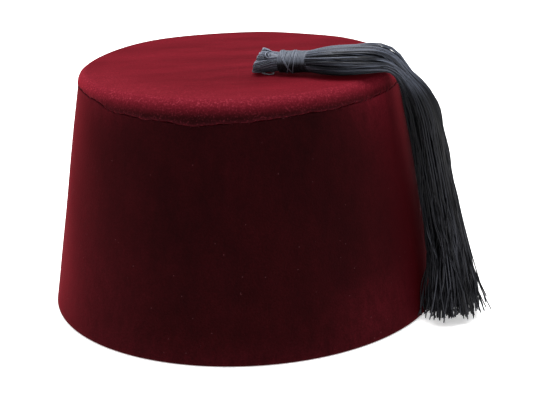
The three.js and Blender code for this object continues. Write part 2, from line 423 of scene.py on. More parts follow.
close_pole(crown_top, HEIGHT - 3.0, HEIGHT - 1.0)
close_pole(crown_top, HEIGHT - 0.95, HEIGHT + 1.0)
close_and_face_out(crown_top)
smooth_below(crown_top, 60)
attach(crown_top, "root")
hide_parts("crown_top")
print("crown top:", triangles(crown_top), "triangles")

# %% [markdown]
# ## Seam stitches
# Slip stitches show only as a short slanting bit of thread that bridges the lip and the side. One stitch is
# modelled from a cylinder, thinned at its ends where it dives into the pile, then copied to every place.

# %% Model one stitch
STITCH_LENGTH, STITCH_RADIUS, STITCH_FLAT, STITCH_THIN, STITCH_DIVE = 1.3, 0.15, 0.35, 0.45, 0.28

clear_selection()
bpy.ops.mesh.primitive_cylinder_add(vertices=8, radius=STITCH_RADIUS * MM, depth=STITCH_LENGTH * MM,
                                    location=(0, 0, 0))
stitch = bpy.context.object
edit_all(stitch)
for height in (STITCH_FLAT, -STITCH_FLAT):
    bpy.ops.mesh.select_all(action="SELECT")
    bpy.ops.mesh.bisect(plane_co=(0, 0, height * MM), plane_no=(0, 0, 1))
leave_edit()
for vertex in stitch.data.vertices:
    if abs(vertex.co.z) > STITCH_LENGTH / 2 * MM - 0.05 * MM:
        vertex.co.x = vertex.co.x * STITCH_THIN - STITCH_DIVE * MM
        vertex.co.y *= STITCH_THIN
print("one stitch:", triangles(stitch), "triangles")


# %% Copy the stitches round the seam
def copy_mesh(piece, matrix):
    """A copy of a small piece with its own mesh, moved by a matrix."""
    twin = piece.copy()
    twin.data = piece.data.copy()
    twin.data.transform(matrix)
    bpy.context.scene.collection.objects.link(twin)
    return twin


def join_pieces(pieces, name):
    clear_selection()
    for piece in pieces:
        piece.select_set(True)
    bpy.context.view_layer.objects.active = pieces[0]
    bpy.ops.object.join()
    joined = bpy.context.object
    joined.name = name
    joined.data.name = name
    return joined


stitch_random = random.Random(11)
stitches = []
for number in range(STITCH_COUNT):
    angle = 2 * math.pi * (number + 0.5) / STITCH_COUNT
    for _ in range(3):
        angle = (2 * math.pi * number - STITCH_SWAY * math.sin(4 * angle)) / STITCH_COUNT
    radius, height = edge_place(seam_down(angle) - 0.1, pucker_depth(angle) * 0.5 + 0.12)
    lean = Matrix.Rotation(math.radians(35) + stitch_random.uniform(-0.25, 0.25), 4, "X")
    turn = Matrix.Rotation(angle, 4, "Z") @ Matrix.Rotation(-SLOPE, 4, "Y")
    place = Matrix.Translation((radius * math.cos(angle) * MM, radius * math.sin(angle) * MM, height * MM))
    stitches.append(copy_mesh(stitch, place @ turn @ lean))
bpy.data.objects.remove(stitch)
seam_stitches = join_pieces(stitches, "seam_stitches")
smooth_below(seam_stitches, 60)
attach(seam_stitches, "root")
print("seam stitches:", len(stitches), "copies,", triangles(seam_stitches), "triangles")

# %% [markdown]
# ## The route of the tassel
# A tassel is one hank of rayon strands. It is folded at the head, wound tight at the neck, and its skirt
# lies over the edge and hangs to the table. The rows are the middle of the hank and its half width and
# half thickness, in mm, close to those of the CAD part. The last row is lower here, because single strands
# reach the table where the solid stops just short of it.

# %% Hank route
HANK = np.array((
    (7.6, -26.5, 120.1, 7.6, 5.5), (12.0, -27.3, 119.7, 6.9, 5.3), (15.2, -28.1, 119.2, 5.2, 4.4),
    (17.6, -28.9, 119.2, 4.9, 4.1), (23.8, -31.2, 119.45, 4.2, 3.3), (30.0, -33.5, 119.7, 4.7, 4.0),
    (33.0, -34.8, 119.9, 5.6, 4.4), (38.8, -37.0, 120.4, 9.4, 5.8), (46.8, -38.4, 120.6, 10.8, 6.0),
    (54.9, -38.8, 120.6, 10.8, 6.1), (62.2, -38.6, 120.3, 10.2, 6.0), (67.6, -38.2, 118.7, 9.2, 5.3),
    (72.4, -38.0, 114.0, 8.4, 4.8), (76.8, -37.6, 108.3, 8.2, 5.7), (81.2, -36.6, 99.0, 8.6, 7.2),
    (85.5, -35.6, 80.0, 9.4, 7.5), (90.4, -36.8, 53.0, 10.6, 7.9), (93.6, -40.4, 31.0, 12.4, 8.9),
    (95.2, -44.2, 16.0, 14.6, 9.9), (95.9, -46.8, 1.0, 16.4, 11.2)))
WIDTH_TURN = math.radians(72)
NECK_START, NECK_END, BEND_ROW = 3, 5, 12


def smooth_rows(rows, steps):
    """Passes a smooth line through the rows, by distance, and returns distances and values."""
    gap = np.linalg.norm(np.diff(rows[:, :3], axis=0), axis=1)
    reach = np.concatenate(([0.0], np.cumsum(gap)))
    slope = np.gradient(rows, reach, axis=0)
    fine = np.linspace(0.0, reach[-1], steps)
    cell = np.clip(np.searchsorted(reach, fine, side="right") - 1, 0, len(rows) - 2)
    span = (reach[cell + 1] - reach[cell])[:, None]
    t = (fine - reach[cell])[:, None] / span
    value = (2 * t**3 - 3 * t**2 + 1) * rows[cell] + (t**3 - 2 * t**2 + t) * span * slope[cell]
    value += (-2 * t**3 + 3 * t**2) * rows[cell + 1] + (t**3 - t**2) * span * slope[cell + 1]
    return fine, value, reach


reach_fine, hank_fine, hank_reach = smooth_rows(HANK, 400)
along_fine = np.gradient(hank_fine[:, :3], reach_fine, axis=0)
along_fine /= np.linalg.norm(along_fine, axis=1)[:, None]
width_fine = np.tile((math.cos(WIDTH_TURN), math.sin(WIDTH_TURN), 0.0), (len(reach_fine), 1))
width_fine -= np.sum(width_fine * along_fine, axis=1)[:, None] * along_fine
width_fine /= np.linalg.norm(width_fine, axis=1)[:, None]
thick_fine = np.cross(width_fine, along_fine)
neck_from, neck_to, bend_at = hank_reach[NECK_START], hank_reach[NECK_END], hank_reach[BEND_ROW]
print("hank:", round(hank_reach[-1], 1), "mm long, neck", round(neck_from, 1), "to", round(neck_to, 1))


def hank_point(reach, across, deep):
    """Places in the hank, in mm: a distance along it and two parts of its half width and half thickness."""
    def pick(table):
        return np.stack([np.interp(reach, reach_fine, column) for column in table.T], axis=1)
    row = pick(hank_fine)
    place = row[:, :3] + pick(width_fine) * (row[:, 3] * across)[:, None]
    return place + pick(thick_fine) * (row[:, 4] * deep)[:, None]


# %% [markdown]
# ## Strands as bevelled curves
# A hair system would be lighter, but a reusable part needs real geometry. Each strand is one spline of a
# curve with a round bevel, and the whole curve is converted to a mesh at the end. Every strand also keeps
# a tone, stored as an attribute: random, so that single threads stand apart, and in the skirt darker as a
# painted shade inside the hank.

# %% Turn strand paths into one mesh
STRAND_RADIUS = 0.29
BEVEL_LEVEL = 1
STRAND_SIDES = 4 + 2 * BEVEL_LEVEL


def strands_to_mesh(name, paths, radius, tones):
    """One mesh from many paths in mm. The ends are closed, so a path has two more rings than points."""
    curve = bpy.data.curves.new(name, "CURVE")
    curve.dimensions = "3D"
    curve.bevel_depth = radius * MM
    curve.bevel_resolution = BEVEL_LEVEL
    curve.use_fill_caps = True
    for path in paths:
        spline = curve.splines.new("POLY")
        spline.points.add(len(path) - 1)
        flat = np.concatenate((np.asarray(path) * MM, np.ones((len(path), 1))), axis=1)
        spline.points.foreach_set("co", flat.ravel())
    piece = bpy.data.objects.new(name, curve)
    bpy.context.scene.collection.objects.link(piece)
    make_active(piece)
    bpy.ops.object.convert(target="MESH")
    piece = bpy.context.object
    piece.data.name = name
    counts = [(len(path) + 2) * STRAND_SIDES for path in paths]
    store(piece, "tone", np.repeat(np.asarray(tones, dtype=np.float32), counts))
    bpy.ops.object.shade_smooth()
    return piece


print("strands have", STRAND_SIDES, "sides and are", 2 * STRAND_RADIUS, "mm thick")

# %% [markdown]
# ## Skirt
# About 400 strands leave the neck, fall into locks with dark gaps between them, twist a little over the
# edge so that some cross there, and spread at the bottom where they stand on the table. A strand is a pair
# of disc coordinates that drift as it runs; the disc is squashed to the hank's oval at each distance.

# %% Lay out the skirt strands
SKIRT_STRANDS = 400
LOCKS = 58
POINTS = 46
DRIFT, STRAY = 0.10, 0.075  # how far a lock wanders in the hank, and a strand in its lock
GATHER, LOOSEN = 0.54, 0.42  # how much a lock draws together past the neck, and opens at the bottom
rng = np.random.default_rng(7)


def sunflower(count, reach=1.0):
    number = np.arange(count) + 0.5
    turn = number * math.pi * (3 - math.sqrt(5))
    return np.stack((np.cos(turn), np.sin(turn)), axis=1) * (reach * np.sqrt(number / count))[:, None]


def ease(value, start, end):
    part = np.clip((value - start) / (end - start), 0.0, 1.0)
    return part * part * (3 - 2 * part)


lock_home = sunflower(LOCKS, 0.98) + rng.normal(0, 0.03, (LOCKS, 2))
lock_twist = rng.uniform(0.1, 0.8, LOCKS)
lock_tone = rng.random(LOCKS)
lock_twist[rng.random(LOCKS) < 0.35] *= -0.5
lock_phase = rng.uniform(0, 2 * math.pi, (LOCKS, 4))
strand_home = sunflower(SKIRT_STRANDS, 1.04) + rng.normal(0, 0.02, (SKIRT_STRANDS, 2))
strand_lock = np.argmin(np.linalg.norm(strand_home[:, None] - lock_home[None], axis=2), axis=1)
strand_phase = rng.uniform(0, 2 * math.pi, (SKIRT_STRANDS, 4))
strand_wander = rng.uniform(0.4, 1.6, SKIRT_STRANDS)
strand_splay = rng.exponential(0.13, SKIRT_STRANDS)
strand_end = hank_reach[-1] - rng.exponential(1.6, SKIRT_STRANDS).clip(0, 10)
print("strands a lock:", round(SKIRT_STRANDS / LOCKS, 1))


# %% The pinch at the edge of the hat
WAIST = 2.5  # mm past the bend
PINCH_ACROSS, PINCH_DEEP = 0.25, -0.30  # the place in the oval that the waist draws to


def pinched(reach, across, deep):
    """Squeezes the hank at its waist: the outer strands most, the near and inner ones over a longer way."""
    side = np.clip(0.5 + 0.5 * (deep - across), 0.0, 1.0)
    past = reach - bend_at - WAIST
    squeeze = np.exp(-(past / (5.0 + np.where(past < 0, 8.0, 2.0) * side)) ** 2)
    tight = np.where(deep < PINCH_DEEP, 0.65, np.where((deep > 0) & (past > 0), 0.21, 0.42))
    return (PINCH_ACROSS + (across - PINCH_ACROSS) * (1 - 0.45 * squeeze),
            PINCH_DEEP + (deep - PINCH_DEEP) * (1 - tight * squeeze))


print("waist at", round(float(bend_at) + WAIST, 1), "mm along the hank")


# %% Run each strand through its lock
def skirt_path(number):
    reach = np.linspace(neck_to - 3.0, strand_end[number], POINTS)
    lock = strand_lock[number]
    free = ease(reach, neck_to - 1, neck_to + 12)
    low = ease(reach, bend_at + 15, hank_reach[-1])
    slow, quick = lock_phase[lock], strand_phase[number]
    hanging = ease(reach, bend_at, bend_at + 40)
    drift = DRIFT * free * (1 + 0.4 * low)
    centre_u = lock_home[lock, 0] + drift * np.sin(reach / 10 + slow[0]) + 0.03 * np.sin(reach / 6 + slow[1])
    centre_v = lock_home[lock, 1] + drift * np.sin(reach / 12 + slow[2]) + 0.03 * np.sin(reach / 8 + slow[3])
    tight = 1.0 - GATHER * free + LOOSEN * low
    offset = strand_home[number] - lock_home[lock]
    stray = strand_wander[number] * free * (STRAY + 0.02 * hanging + 0.05 * low)
    across = centre_u + offset[0] * tight + stray * np.sin(reach / 9 + quick[0])
    deep = centre_v + offset[1] * tight + stray * np.sin(reach / 8 + quick[1])
    across += 0.4 * stray * np.sin(reach / 4.5 + quick[2])
    deep += 0.4 * stray * np.sin(reach / 5.5 + quick[3])
    twist = lock_twist[lock] * ease(reach, bend_at - 14, bend_at + 20)
    turned_u = across * np.cos(twist) - deep * np.sin(twist)
    turned_v = across * np.sin(twist) + deep * np.cos(twist)
    size = np.hypot(turned_u, turned_v)
    hold = np.where(size > 1.0, (1.0 + 0.3 * (size - 1.0)) / np.maximum(size, 1e-6), 1.0)
    near = turned_u < -0.2
    spread = 1.0 + strand_splay[number] * low ** 3 * np.where(near, 0.75, 0.3)
    spread *= 1.0 + 0.30 * low ** 2 * np.abs(turned_u * turned_v) * np.where(near & (turned_v > 0), 1.0, 0.0)
    return hank_point(reach, *pinched(reach, turned_u * hold * spread, turned_v * hold * spread))


skirt_paths = [skirt_path(number) for number in range(SKIRT_STRANDS)]
print("skirt points:", sum(len(path) for path in skirt_paths))

# %% [markdown]
# ## Flyaway strands
# A tassel that has been handled always lets a few strands stand off. Each one here leaves the hank on its
# outer side, bows out by a millimetre or two and comes back, or runs out sideways at the bottom. Sixteen more
# are short: their tips stand off the outer side at different heights.

# %% Bow out a few strands
def flyaway(across, deep, middle, length, bow_u, bow_v, kick=0.0, end=0.5, start=34.0):
    """A strand on the hank's surface that bows out round a distance below the bend, in mm."""
    reach = np.linspace(neck_to - 3.0, hank_reach[-1] - end, POINTS)
    bow = np.exp(-((reach - bend_at - middle) / length) ** 2)
    low = np.clip((reach - hank_reach[-1] + start) / start, 0.0, 1.0) ** 1.7
    off = ease(reach, neck_to, neck_to + 12)
    u = across * (1 + 0.02 * np.sin(reach / 9)) + (bow_u * bow + kick * across * low) * off
    v = deep * (1 + 0.02 * np.sin(reach / 7)) + (bow_v * bow + kick * deep * low) * off
    return hank_point(reach, *pinched(reach, u, v))


# across, deep, middle, length, bow_u, bow_v, and where they are not the usual ones kick, end and start
FLYAWAYS = (
    (0.45, -0.90, -9, 7, 0.0, -0.30), (0.30, -0.98, -8, 7, 0.0, -0.26), (0.15, -1.00, -6, 7, 0.0, -0.22),
    (0.55, -0.85, -11, 7, 0.05, -0.26), (0.35, -0.95, -7, 8, 0.0, -0.36), (-0.25, -1.00, 19, 10, 0.0, -0.24),
    (-0.10, -1.02, 42, 9, 0.0, -0.18), (-0.45, -0.92, 63, 8, 0.0, -0.20), (-0.6, -0.85, 84, 8, 0.0, -0.20, 0.2),
    (-0.30, -1.00, 52, 7, 0.0, -0.16), (-0.20, -1.02, 74, 6, 0.0, -0.16, 0.1),
    (-0.10, -0.98, 90, 9, 0.0, 0.0, 0.66, 1.0, 36.0), (-0.05, -1.00, 80, 9, 0.0, 0.0, 0.74, 7.0),
    (-0.22, -0.97, 60, 9, 0.0, 0.0, 0.42, 1.0, 28.0), (-0.3, -0.95, 60, 9, 0.0, 0.0, 0.55, 4.0),
    (-0.16, -0.99, 60, 9, 0.0, 0.0, 0.52, 2.0, 24.0), (-0.7, -0.75, 60, 9, 0.0, 0.0, 0.4, 1.0),
    (-0.42, -0.95, 66, 8, 0.0, -0.05, 0.36, 1.0, 22.0), (-0.8, -0.5, 60, 9, 0.0, 0.0, 0.35, 0.5),
    (-0.55, 0.85, 60, 9, 0.0, 0.0, 0.16, 0.5), (-0.9, 0.4, 60, 9, -0.05, 0.0, 0.3, 0.5),
    (0.7, -0.8, 40, 14, 0.1, -0.1, 0.5, 2.0), (0.9, 0.2, 50, 14, 0.12, 0.0, 0.5, 1.0))
SHORT_STRANDS = 16

flyaways = [flyaway(*row) for row in FLYAWAYS]
for number in range(SHORT_STRANDS):
    turn = rng.uniform(-2.3, -1.5)
    flyaways.append(flyaway(math.cos(turn), math.sin(turn), rng.uniform(20, 80), 7, 0.0,
                            -rng.uniform(0.0, 0.12), rng.uniform(0.15, 0.5), 4 + 2.6 * number, 75.0))
skirt_paths += flyaways
print("flyaway strands:", len(flyaways))

# %% [markdown]
# ## Strands that cross at the edge
# Where the hank bends over the hat some strands from its far upper side slip across the others to the near
# side. They pinch the hank there and then fan out, which is what makes a tassel look real and not combed.

# %% Cross a few strands over the bend
def crossing(start_turn, end_turn, spread_from, proud):
    """A strand on the hank's surface whose direction in the oval turns while it passes the bend."""
    reach = np.linspace(neck_to - 2.0, hank_reach[-1] - 1.5, POINTS)
    swap = ease(reach, bend_at - 15 + spread_from, bend_at + 5 + spread_from)
    turn = np.radians(start_turn + (end_turn - start_turn) * swap)
    out = 1.0 + proud + 0.01 * np.sin(reach / 7 + start_turn)
    return hank_point(reach, *pinched(reach, np.cos(turn) * out, np.sin(turn) * out))


CROSSINGS = ((-58, -150, -3, 0.02), (-66, -140, -1, 0.03), (-74, -131, 0, 0.04),
             (-80, -122, 1, 0.03), (-52, -160, -2, 0.01), (-88, -168, -5, 0.02),
             (-96, -176, -6, 0.01), (-110, -70, 2, 0.02), (-120, -84, 3, 0.03))
crossings = [crossing(*row) for row in CROSSINGS]
skirt_paths += crossings
print("crossing strands:", len(crossings))

# %% [markdown]
# ## Settling the strands
# Strands must not run through the velvet or the table. Any point that lands inside the crown is moved out
# along the crown's face, and any point below the table is laid on it, as the loose tips of a tassel are.

# %% Keep the strands outside the crown and on the table
CLEARANCE = 0.45


def settle(path):
    path = np.array(path)
    height = path[:, 2]
    radius = np.hypot(path[:, 0], path[:, 1])
    wall = BASE_RADIUS - TAPER * height + PROUD + CLEARANCE
    arc_r, arc_z = ARC_CENTRE, HEIGHT - EDGE_ROUND
    arc_from = arc_z + 0.8  # where the rolled edge meets the side
    over = np.hypot(radius - arc_r, height - arc_z)
    corner = (radius > arc_r) & (height > arc_from) & (over < EDGE_ROUND + CLEARANCE)
    flat = (radius <= arc_r) & (height < HEIGHT + CLEARANCE) & (height > HEIGHT - 12)
    side = (height <= arc_from) & (radius < wall)
    grow = np.where(corner, (EDGE_ROUND + CLEARANCE) / np.maximum(over, 1e-6), 1.0)
    new_radius = np.where(corner, arc_r + (radius - arc_r) * grow, radius)
    new_height = np.where(corner, arc_z + (height - arc_z) * grow, height)
    new_height = np.where(flat, HEIGHT + CLEARANCE, new_height)
    new_radius = np.where(side, wall, new_radius)
    scale = new_radius / np.maximum(radius, 1e-6)
    path[:, 0] *= scale
    path[:, 1] *= scale
    path[:, 2] = np.maximum(new_height, STRAND_RADIUS)
    return path


def relax(path):
    """Rounds off the corners that settling leaves in a strand."""
    path = np.array(path)
    for _ in range(2):
        path[1:-1] = 0.25 * path[:-2] + 0.5 * path[1:-1] + 0.25 * path[2:]
    return path


skirt_paths = [settle(relax(settle(path))) for path in skirt_paths]
print("lowest point of a strand:", round(min(path[:, 2].min() for path in skirt_paths), 2), "mm")

# %% [markdown]
# ## Light and dark strands
# Rayon strands turn to the light at different angles, so some look pale and others nearly black. Pale ones
# keep together in locks here. The strands inside the hank and on its far side are darker, a painted shade, and
# those that cross at the edge or bow out on the top are pale.

# %% Give each strand its tone
BRIGHT_FROM = 0.6
PALE_BOWS = 5  # the first flyaways bow out on the top

tones = rng.random(len(skirt_paths))
in_hank = tones[:SKIRT_STRANDS]
bright = in_hank + 0.25 * (lock_tone[strand_lock] - 0.5) > BRIGHT_FROM
outside = np.clip(np.linalg.norm(strand_home, axis=1), 0, 1) ** 2
far_side_shade = np.clip(0.5 + 1.2 * strand_home[:, 0], 0, 1)
in_hank[:] = np.where(bright, 0.6 + 0.4 * rng.random(SKIRT_STRANDS), 0.3 * in_hank)
# Painted shade: strands inside the hank and on its far side are darker.
in_hank *= (0.35 + 0.65 * outside) * (1.0 - 0.48 * far_side_shade)
tones[-len(crossings):] = rng.uniform(0.75, 1.0, len(crossings))
tones[SKIRT_STRANDS:SKIRT_STRANDS + PALE_BOWS] = rng.uniform(0.7, 1.0, PALE_BOWS)
print("pale strands:", int(bright.sum()), "of", SKIRT_STRANDS)

# %% Make the skirt's two meshes
half = len(skirt_paths) // 2
skirt_inner = strands_to_mesh("tassel_skirt_inner", skirt_paths[:half], STRAND_RADIUS, tones[:half])
skirt_outer = strands_to_mesh("tassel_skirt_outer", skirt_paths[half:], STRAND_RADIUS, tones[half:])
for piece in (skirt_inner, skirt_outer):
    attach(piece, "root")
    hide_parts("tassel_hank")
    print(piece.name, triangles(piece), "triangles")

# %% [markdown]
# ## Head loops
# At the head every strand is folded back on itself, so the end of the tassel is a face of small round
# folds. Each loop runs from the neck to the end, turns as tightly as its thread allows, and comes back. The
# hank is twisted a little between the neck and the face, and the face slants: its near side is further out.

# %% Model the folded loops of the head
HEAD_LOOPS = 112
HEAD_TWIST = math.radians(40)
HEAD_RADIUS = 0.28
LEG_POINTS = 13


def head_loop(home, turn, length):
    """One folded loop. home is its place in the disc at the end face, turn the direction of its fold."""
    slant = 2.1 * (1 - home[1]) + 0.3 * (1 + home[0])
    fold = np.linspace(0, math.pi, 7)[1:-1]
    out = np.linspace(neck_from + 3.0, slant + length, LEG_POINTS)
    reach = np.concatenate((out, np.full(5, out[-1]) - 0.42 * np.sin(fold), out[::-1]))
    side = np.concatenate((np.full(LEG_POINTS, 1.0), np.cos(fold), np.full(LEG_POINTS, -1.0)))
    across = home[0] + side * 0.062 * math.cos(turn)
    deep = home[1] + side * 0.075 * math.sin(turn)
    twist = HEAD_TWIST * np.clip(reach / neck_from, 0.0, 1.0)
    turned_u = across * np.cos(twist) - deep * np.sin(twist)
    turned_v = across * np.sin(twist) + deep * np.cos(twist)
    flat = hank_point(np.clip(reach, 0.0, None), turned_u, turned_v)
    return flat + np.minimum(reach, 0.0)[:, None] * along_fine[0]


head_random = np.random.default_rng(21)
head_home = sunflower(HEAD_LOOPS, 0.96) + head_random.normal(0, 0.015, (HEAD_LOOPS, 2))
head_paths = [head_loop(home, head_random.uniform(1.0, 2.1), head_random.uniform(-0.6, 0.6))
              for home in head_home]
print("folded loops:", len(head_paths))

# %% [markdown]
# ## The curl on the head
# On the near upper side one lock of loops has worked loose from the face and lies open on the fan as nested
# arcs. It is laid on the hank's surface: half circles of growing radius with two legs back to the neck.

# %% Nested arcs of the curl
CURL_TURN = math.radians(232)
CURL_ROOM = 6.0  # mm round the head for each radian
CURL_ARCS = ((0.38, 0.13, 0.4), (0.98, 0.12, 0.0), (1.6, 0.10, 0.6), (2.2, 0.07, 0.0), (2.8, 0.05, 0.7))


def curl_loop(radius, middle, lift):
    """One arc: its radius and its distance along the hank in mm, and its lift as part of the oval."""
    fold = np.linspace(0, math.pi, 11)
    leg = np.linspace(neck_from + 2.0, middle, 7)[:-1]
    reach = np.concatenate((leg, middle - radius * np.sin(fold) * 1.1, leg[::-1]))
    aside = np.concatenate((np.full(6, radius), radius * np.cos(fold), np.full(6, -radius)))
    turn = CURL_TURN + aside / CURL_ROOM * np.clip((neck_from + 3 - reach) / 8.0, 0.3, 1.0)
    out = 1.02 + lift * np.clip((neck_from - reach) / 6.0, 0.0, 1.0)
    return hank_point(reach, np.cos(turn) * out, np.sin(turn) * out)


curl_paths = [curl_loop(radius, 9.2 - 0.25 * radius, lift) for radius, lift, tone in CURL_ARCS]
head_paths = [settle(path) for path in head_paths + curl_paths]
head_tones = np.where(head_random.random(HEAD_LOOPS) < 0.5, 0.1, 0.8)
head_tones = np.concatenate((head_tones, [tone for radius, lift, tone in CURL_ARCS]))
head_loops = strands_to_mesh("tassel_head_loops", head_paths, HEAD_RADIUS, head_tones)
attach(head_loops, "root")
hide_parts("tassel_hank")
print("head loops:", triangles(head_loops), "triangles")

# %% [markdown]
# ## Binding
# The neck is wound with the same thread in close turns, and four turns cross over the others where the
# maker tied off. One turn is a torus made oval; it is copied along the neck with small differences in tilt
# and size. A plain oval sleeve below the turns closes the gaps between them.

# %% The neck's own directions
BIND_START = 1.9
BIND_WIDTH, BIND_THICK = 5.6, 4.6
BIND_PAST = 0.5  # mm that the turns go on past the neck's last row
neck_axis = Vector(HANK[NECK_END, :3] - HANK[NECK_START, :3]).normalized()
neck_across = Vector((math.cos(WIDTH_TURN), math.sin(WIDTH_TURN), 0.0))
neck_across = (neck_across - neck_across.dot(neck_axis) * neck_axis).normalized()
neck_deep = neck_axis.cross(neck_across)
neck_frame = Matrix((neck_across, neck_deep, neck_axis)).transposed().to_4x4()
neck_base = Vector(HANK[NECK_START, :3])
bind_length = (Vector(HANK[NECK_END, :3]) - neck_base).length + BIND_PAST
print("binding:", round(bind_length, 1), "mm long")

# %% Wind the binding
BIND_THREAD = 0.31
TURNS = 22
MODEL_THREAD = 0.1  # thread radius of the torus that is the model of a turn
CROSS_PROUD = 0.40
CROSSING_TURNS = ((5.2, -0.50, 0.10), (5.9, -0.46, 0.06), (6.9, 0.34, 0.12), (8.6, 0.22, 0.20))

clear_selection()
bpy.ops.mesh.primitive_torus_add(major_segments=40, minor_segments=8, major_radius=1.0,
                                 minor_radius=MODEL_THREAD, location=(0, 0, 0))
turn_model = bpy.context.object
bind_random = random.Random(5)
turns = []


def wind_turn(distance, width, thick, tilt_a, tilt_b, thread, tone=0.0):
    """A turn of thread: the torus is made oval, tilted, and set on the neck's axis."""
    twin = copy_mesh(turn_model, Matrix())
    for vertex in twin.data.vertices:
        x, y, z = vertex.co
        outward = (math.hypot(x, y) - 1.0) * thread / MODEL_THREAD
        angle = math.atan2(y, x)
        vertex.co = Vector((math.cos(angle) * (width + outward), math.sin(angle) * (thick + outward),
                            z * thread / MODEL_THREAD)) * MM
    tilt = Matrix.Rotation(tilt_a, 4, "X") @ Matrix.Rotation(tilt_b, 4, "Y")
    place = Matrix.Translation((neck_base + neck_axis * distance) * MM)
    twin.data.transform(place @ neck_frame @ tilt)
    store(twin, "tone", [tone] * len(twin.data.vertices))
    return twin


for number in range(TURNS):
    distance = BIND_START + bind_length * (number + 0.5) / TURNS
    size = bind_random.uniform(-0.06, 0.08) * (0.5 + number / TURNS)
    turns.append(wind_turn(distance, BIND_WIDTH + size, BIND_THICK + size, bind_random.uniform(-0.02, 0.02),
                           bind_random.uniform(-0.02, 0.02), BIND_THREAD))
# The crossing turns get full tone: a painted highlight, so they show light where they cross over the others.
for distance, tilt_a, tilt_b in CROSSING_TURNS:
    width, thick = (BIND_WIDTH + CROSS_PROUD) / math.cos(tilt_b), (BIND_THICK + CROSS_PROUD) / math.cos(tilt_a)
    turns.append(wind_turn(distance, width, thick, tilt_a, tilt_b, BIND_THREAD * 0.8, tone=1.0))
bpy.data.objects.remove(turn_model)
print("turns:", len(turns))

# %% Sleeve under the turns
SLEEVE_UNDER, SLEEVE_SHORT, SLEEVE_WALL = 0.22, 1.2, 0.9

clear_selection()
bpy.ops.mesh.primitive_cylinder_add(vertices=48, radius=1.0, depth=1.0, end_fill_type="NOTHING")
sleeve = bpy.context.object
edit_all(sleeve)
bpy.ops.transform.resize(value=((BIND_WIDTH - SLEEVE_UNDER) * MM, (BIND_THICK - SLEEVE_UNDER) * MM,
                                (bind_length - SLEEVE_SHORT) * MM))
leave_edit()
middle = neck_base + neck_axis * (BIND_START + bind_length / 2)
sleeve.data.transform(Matrix.Translation(middle * MM) @ neck_frame)
make_active(sleeve)
thicken = sleeve.modifiers.new("wall", "SOLIDIFY")
thicken.thickness = SLEEVE_WALL * MM
thicken.offset = -1.0
bpy.ops.object.modifier_apply(modifier="wall")
turns.insert(0, sleeve)
binding = join_pieces(turns, "tassel_binding_turns")
smooth_below(binding, 60)
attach(binding, "root")
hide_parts("tassel_binding")
print("binding:", triangles(binding), "triangles")

# %% [markdown]
# ## End of the tying thread
# The thread that ties the head comes out under it and lies on the velvet as a small open loop.

# %% Lay the end of the tying thread
TYING_RADIUS = 0.26
LOOP_ROWS = np.array(((12.2, -29.6), (10.9, -28.2), (10.7, -29.6), (12.0, -31.4), (14.3, -32.2), (16.0, -31.0),
                      (16.3, -28.6), (14.8, -27.6), (13.2, -28.4)))
fine = np.linspace(0, len(LOOP_ROWS) - 1, 33)
loop_x, loop_y = [np.interp(fine, np.arange(len(LOOP_ROWS)), column) for column in LOOP_ROWS.T]
loop_path = np.stack((loop_x, loop_y, HEIGHT + 0.55 + 0.25 * np.sin(fine)), axis=1)
tying_end = strands_to_mesh("tassel_tying_end", [relax(relax(loop_path))], TYING_RADIUS, [1.0])
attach(tying_end, "root")
print("tying end:", triangles(tying_end), "triangles")

# %% [markdown]
# ## Materials
# Every material starts from what the real thing is. Colours are sRGB hex values, turned to linear by one
# function, and one small function adds a node with its links and settings. It hands back the output that
# the next node is linked to. Values that are the same all over go straight on the shader's own inputs.

# %% Colour and node helpers
FIRST, SECOND = 6, 7  # the two colour inputs of a Mix node, whose factor is input 0


def linear(code):
    """sRGB hex, such as 5b1420, as a linear colour."""
    parts = [int(code[i:i + 2], 16) / 255 for i in (0, 2, 4)]
    return tuple(p / 12.92 if p <= 0.04045 else ((p + 0.055) / 1.055) ** 2.4 for p in parts) + (1.0,)


def add_node(tree, kind, links=None, values=None, output=None, **settings):
    """Adds a shader node: its links as {input: output socket}, its input values and its options."""
    node = tree.nodes.new("ShaderNode" + kind)
    for name, value in settings.items():
        setattr(node, name, value)
    for name, value in (values or {}).items():
        node.inputs[name].default_value = value
    for name, source in (links or {}).items():
        tree.links.new(source, node.inputs[name])
    return node.outputs[output] if output else next((out for out in node.outputs if out.enabled), None)


def new_material(name, values):
    """A Principled material with its input values. Returns it, its node tree and the shader's inputs."""
    material = bpy.data.materials.new(name)
    material.use_nodes = True
    tree = material.node_tree
    tree.nodes.clear()
    surface = add_node(tree, "BsdfPrincipled", values=values)
    add_node(tree, "OutputMaterial", {"Surface": surface})
    return material, tree, surface.node.inputs


print("dark burgundy:", [round(v, 4) for v in linear("2a0a0c")])

# %% [markdown]
# ## Cotton velvet, cut pile, dyed burgundy
# Velvet is a dense pile of upright fibres about 1 mm long. Looked at head-on the eye sees down between the
# fibres, so it is nearly black; at a shallow angle the fibre tips catch the light and it glows. That is what
# the sheen layer gives. Slow noise makes the marks where the nap has been brushed one way or the other,
# fine noise the tips of the pile, and a few pale specks the lint that velvet always carries.

# %% Velvet: nap, strokes and pile
NAP_SIZE, STROKE_SIZE, PILE_SIZE = 22.0, 4.0, 0.8  # mm; the tips are coarser than real ones, to show


